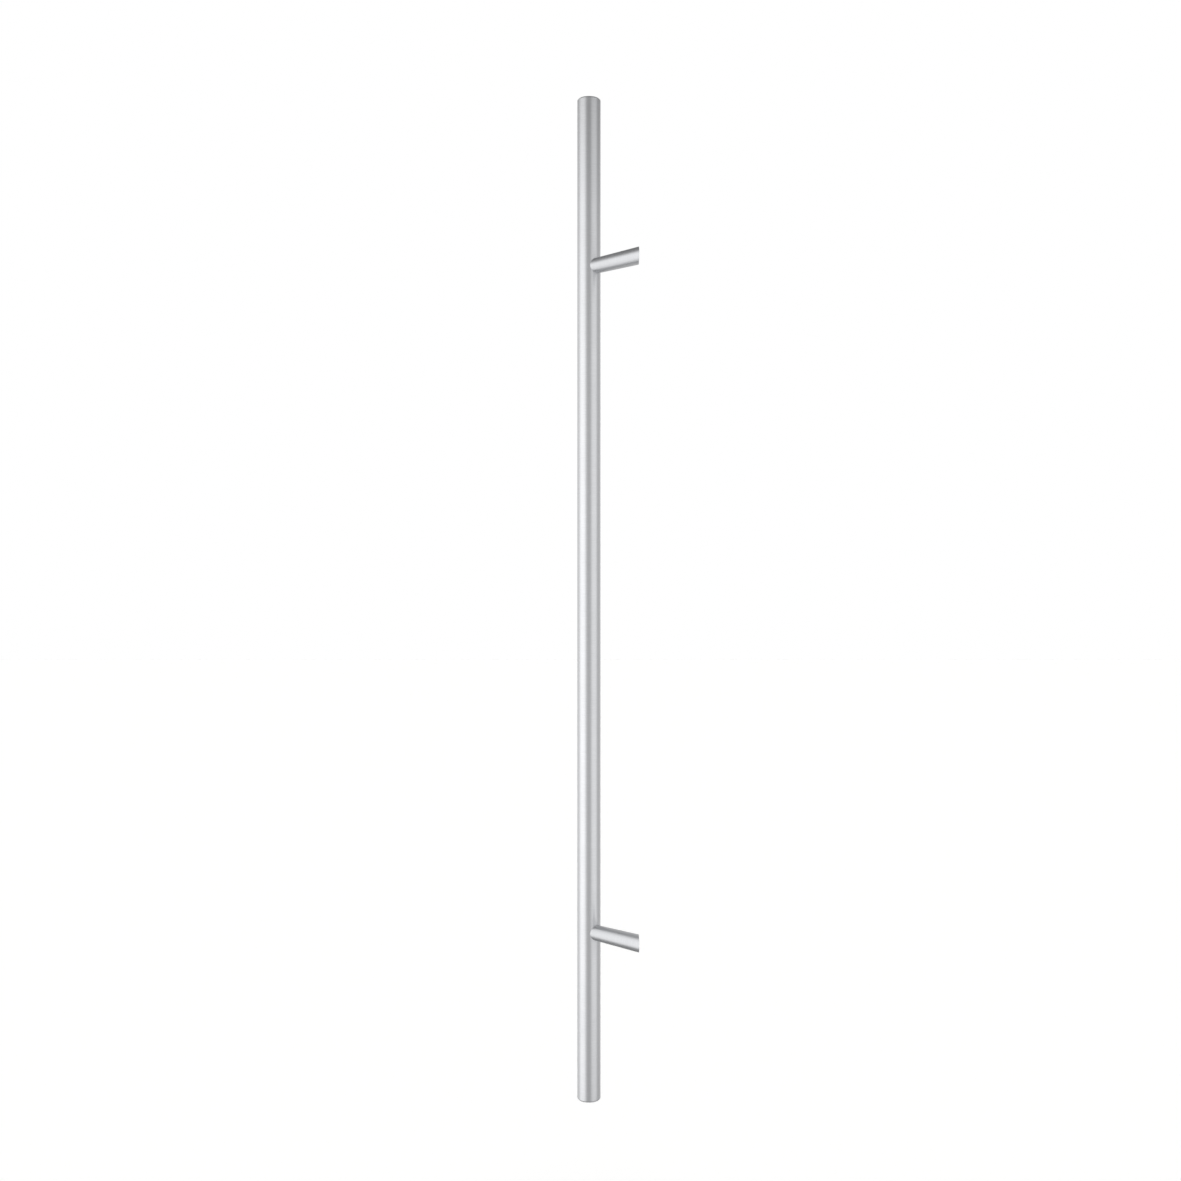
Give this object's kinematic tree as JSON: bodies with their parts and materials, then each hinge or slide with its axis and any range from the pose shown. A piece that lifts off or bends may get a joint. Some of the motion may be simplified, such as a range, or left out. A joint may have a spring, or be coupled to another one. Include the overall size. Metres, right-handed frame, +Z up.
{
  "type": "door pull handle",
  "caption": "Long round pull handle in satin stainless steel on two legs that run sideways at 45 degrees to the door.",
  "frame": {"origin": "midway between the two fixing holes, on the door face", "axes": "+Z up along the grip, the door face is the plane Y = 0 and the handle stands on its -Y side, with the grip offset towards -X"},
  "size_m": [0.1079, 0.09, 1.506],
  "materials": {
    "satin_stainless": "satin",
    "plain_stainless": "plain machined"
  },
  "bodies": {
    "root": {"grip_tube": "satin_stainless", "upper_end_cap": "satin_stainless", "lower_end_cap": "satin_stainless", "upper_leg": "satin_stainless", "lower_leg": "satin_stainless", "upper_clamp_plate": "plain_stainless", "lower_clamp_plate": "plain_stainless", "upper_lock_washer": "plain_stainless", "lower_lock_washer": "plain_stainless", "upper_leg_screw": "plain_stainless", "lower_leg_screw": "plain_stainless"}
  },
  "joints": []
}
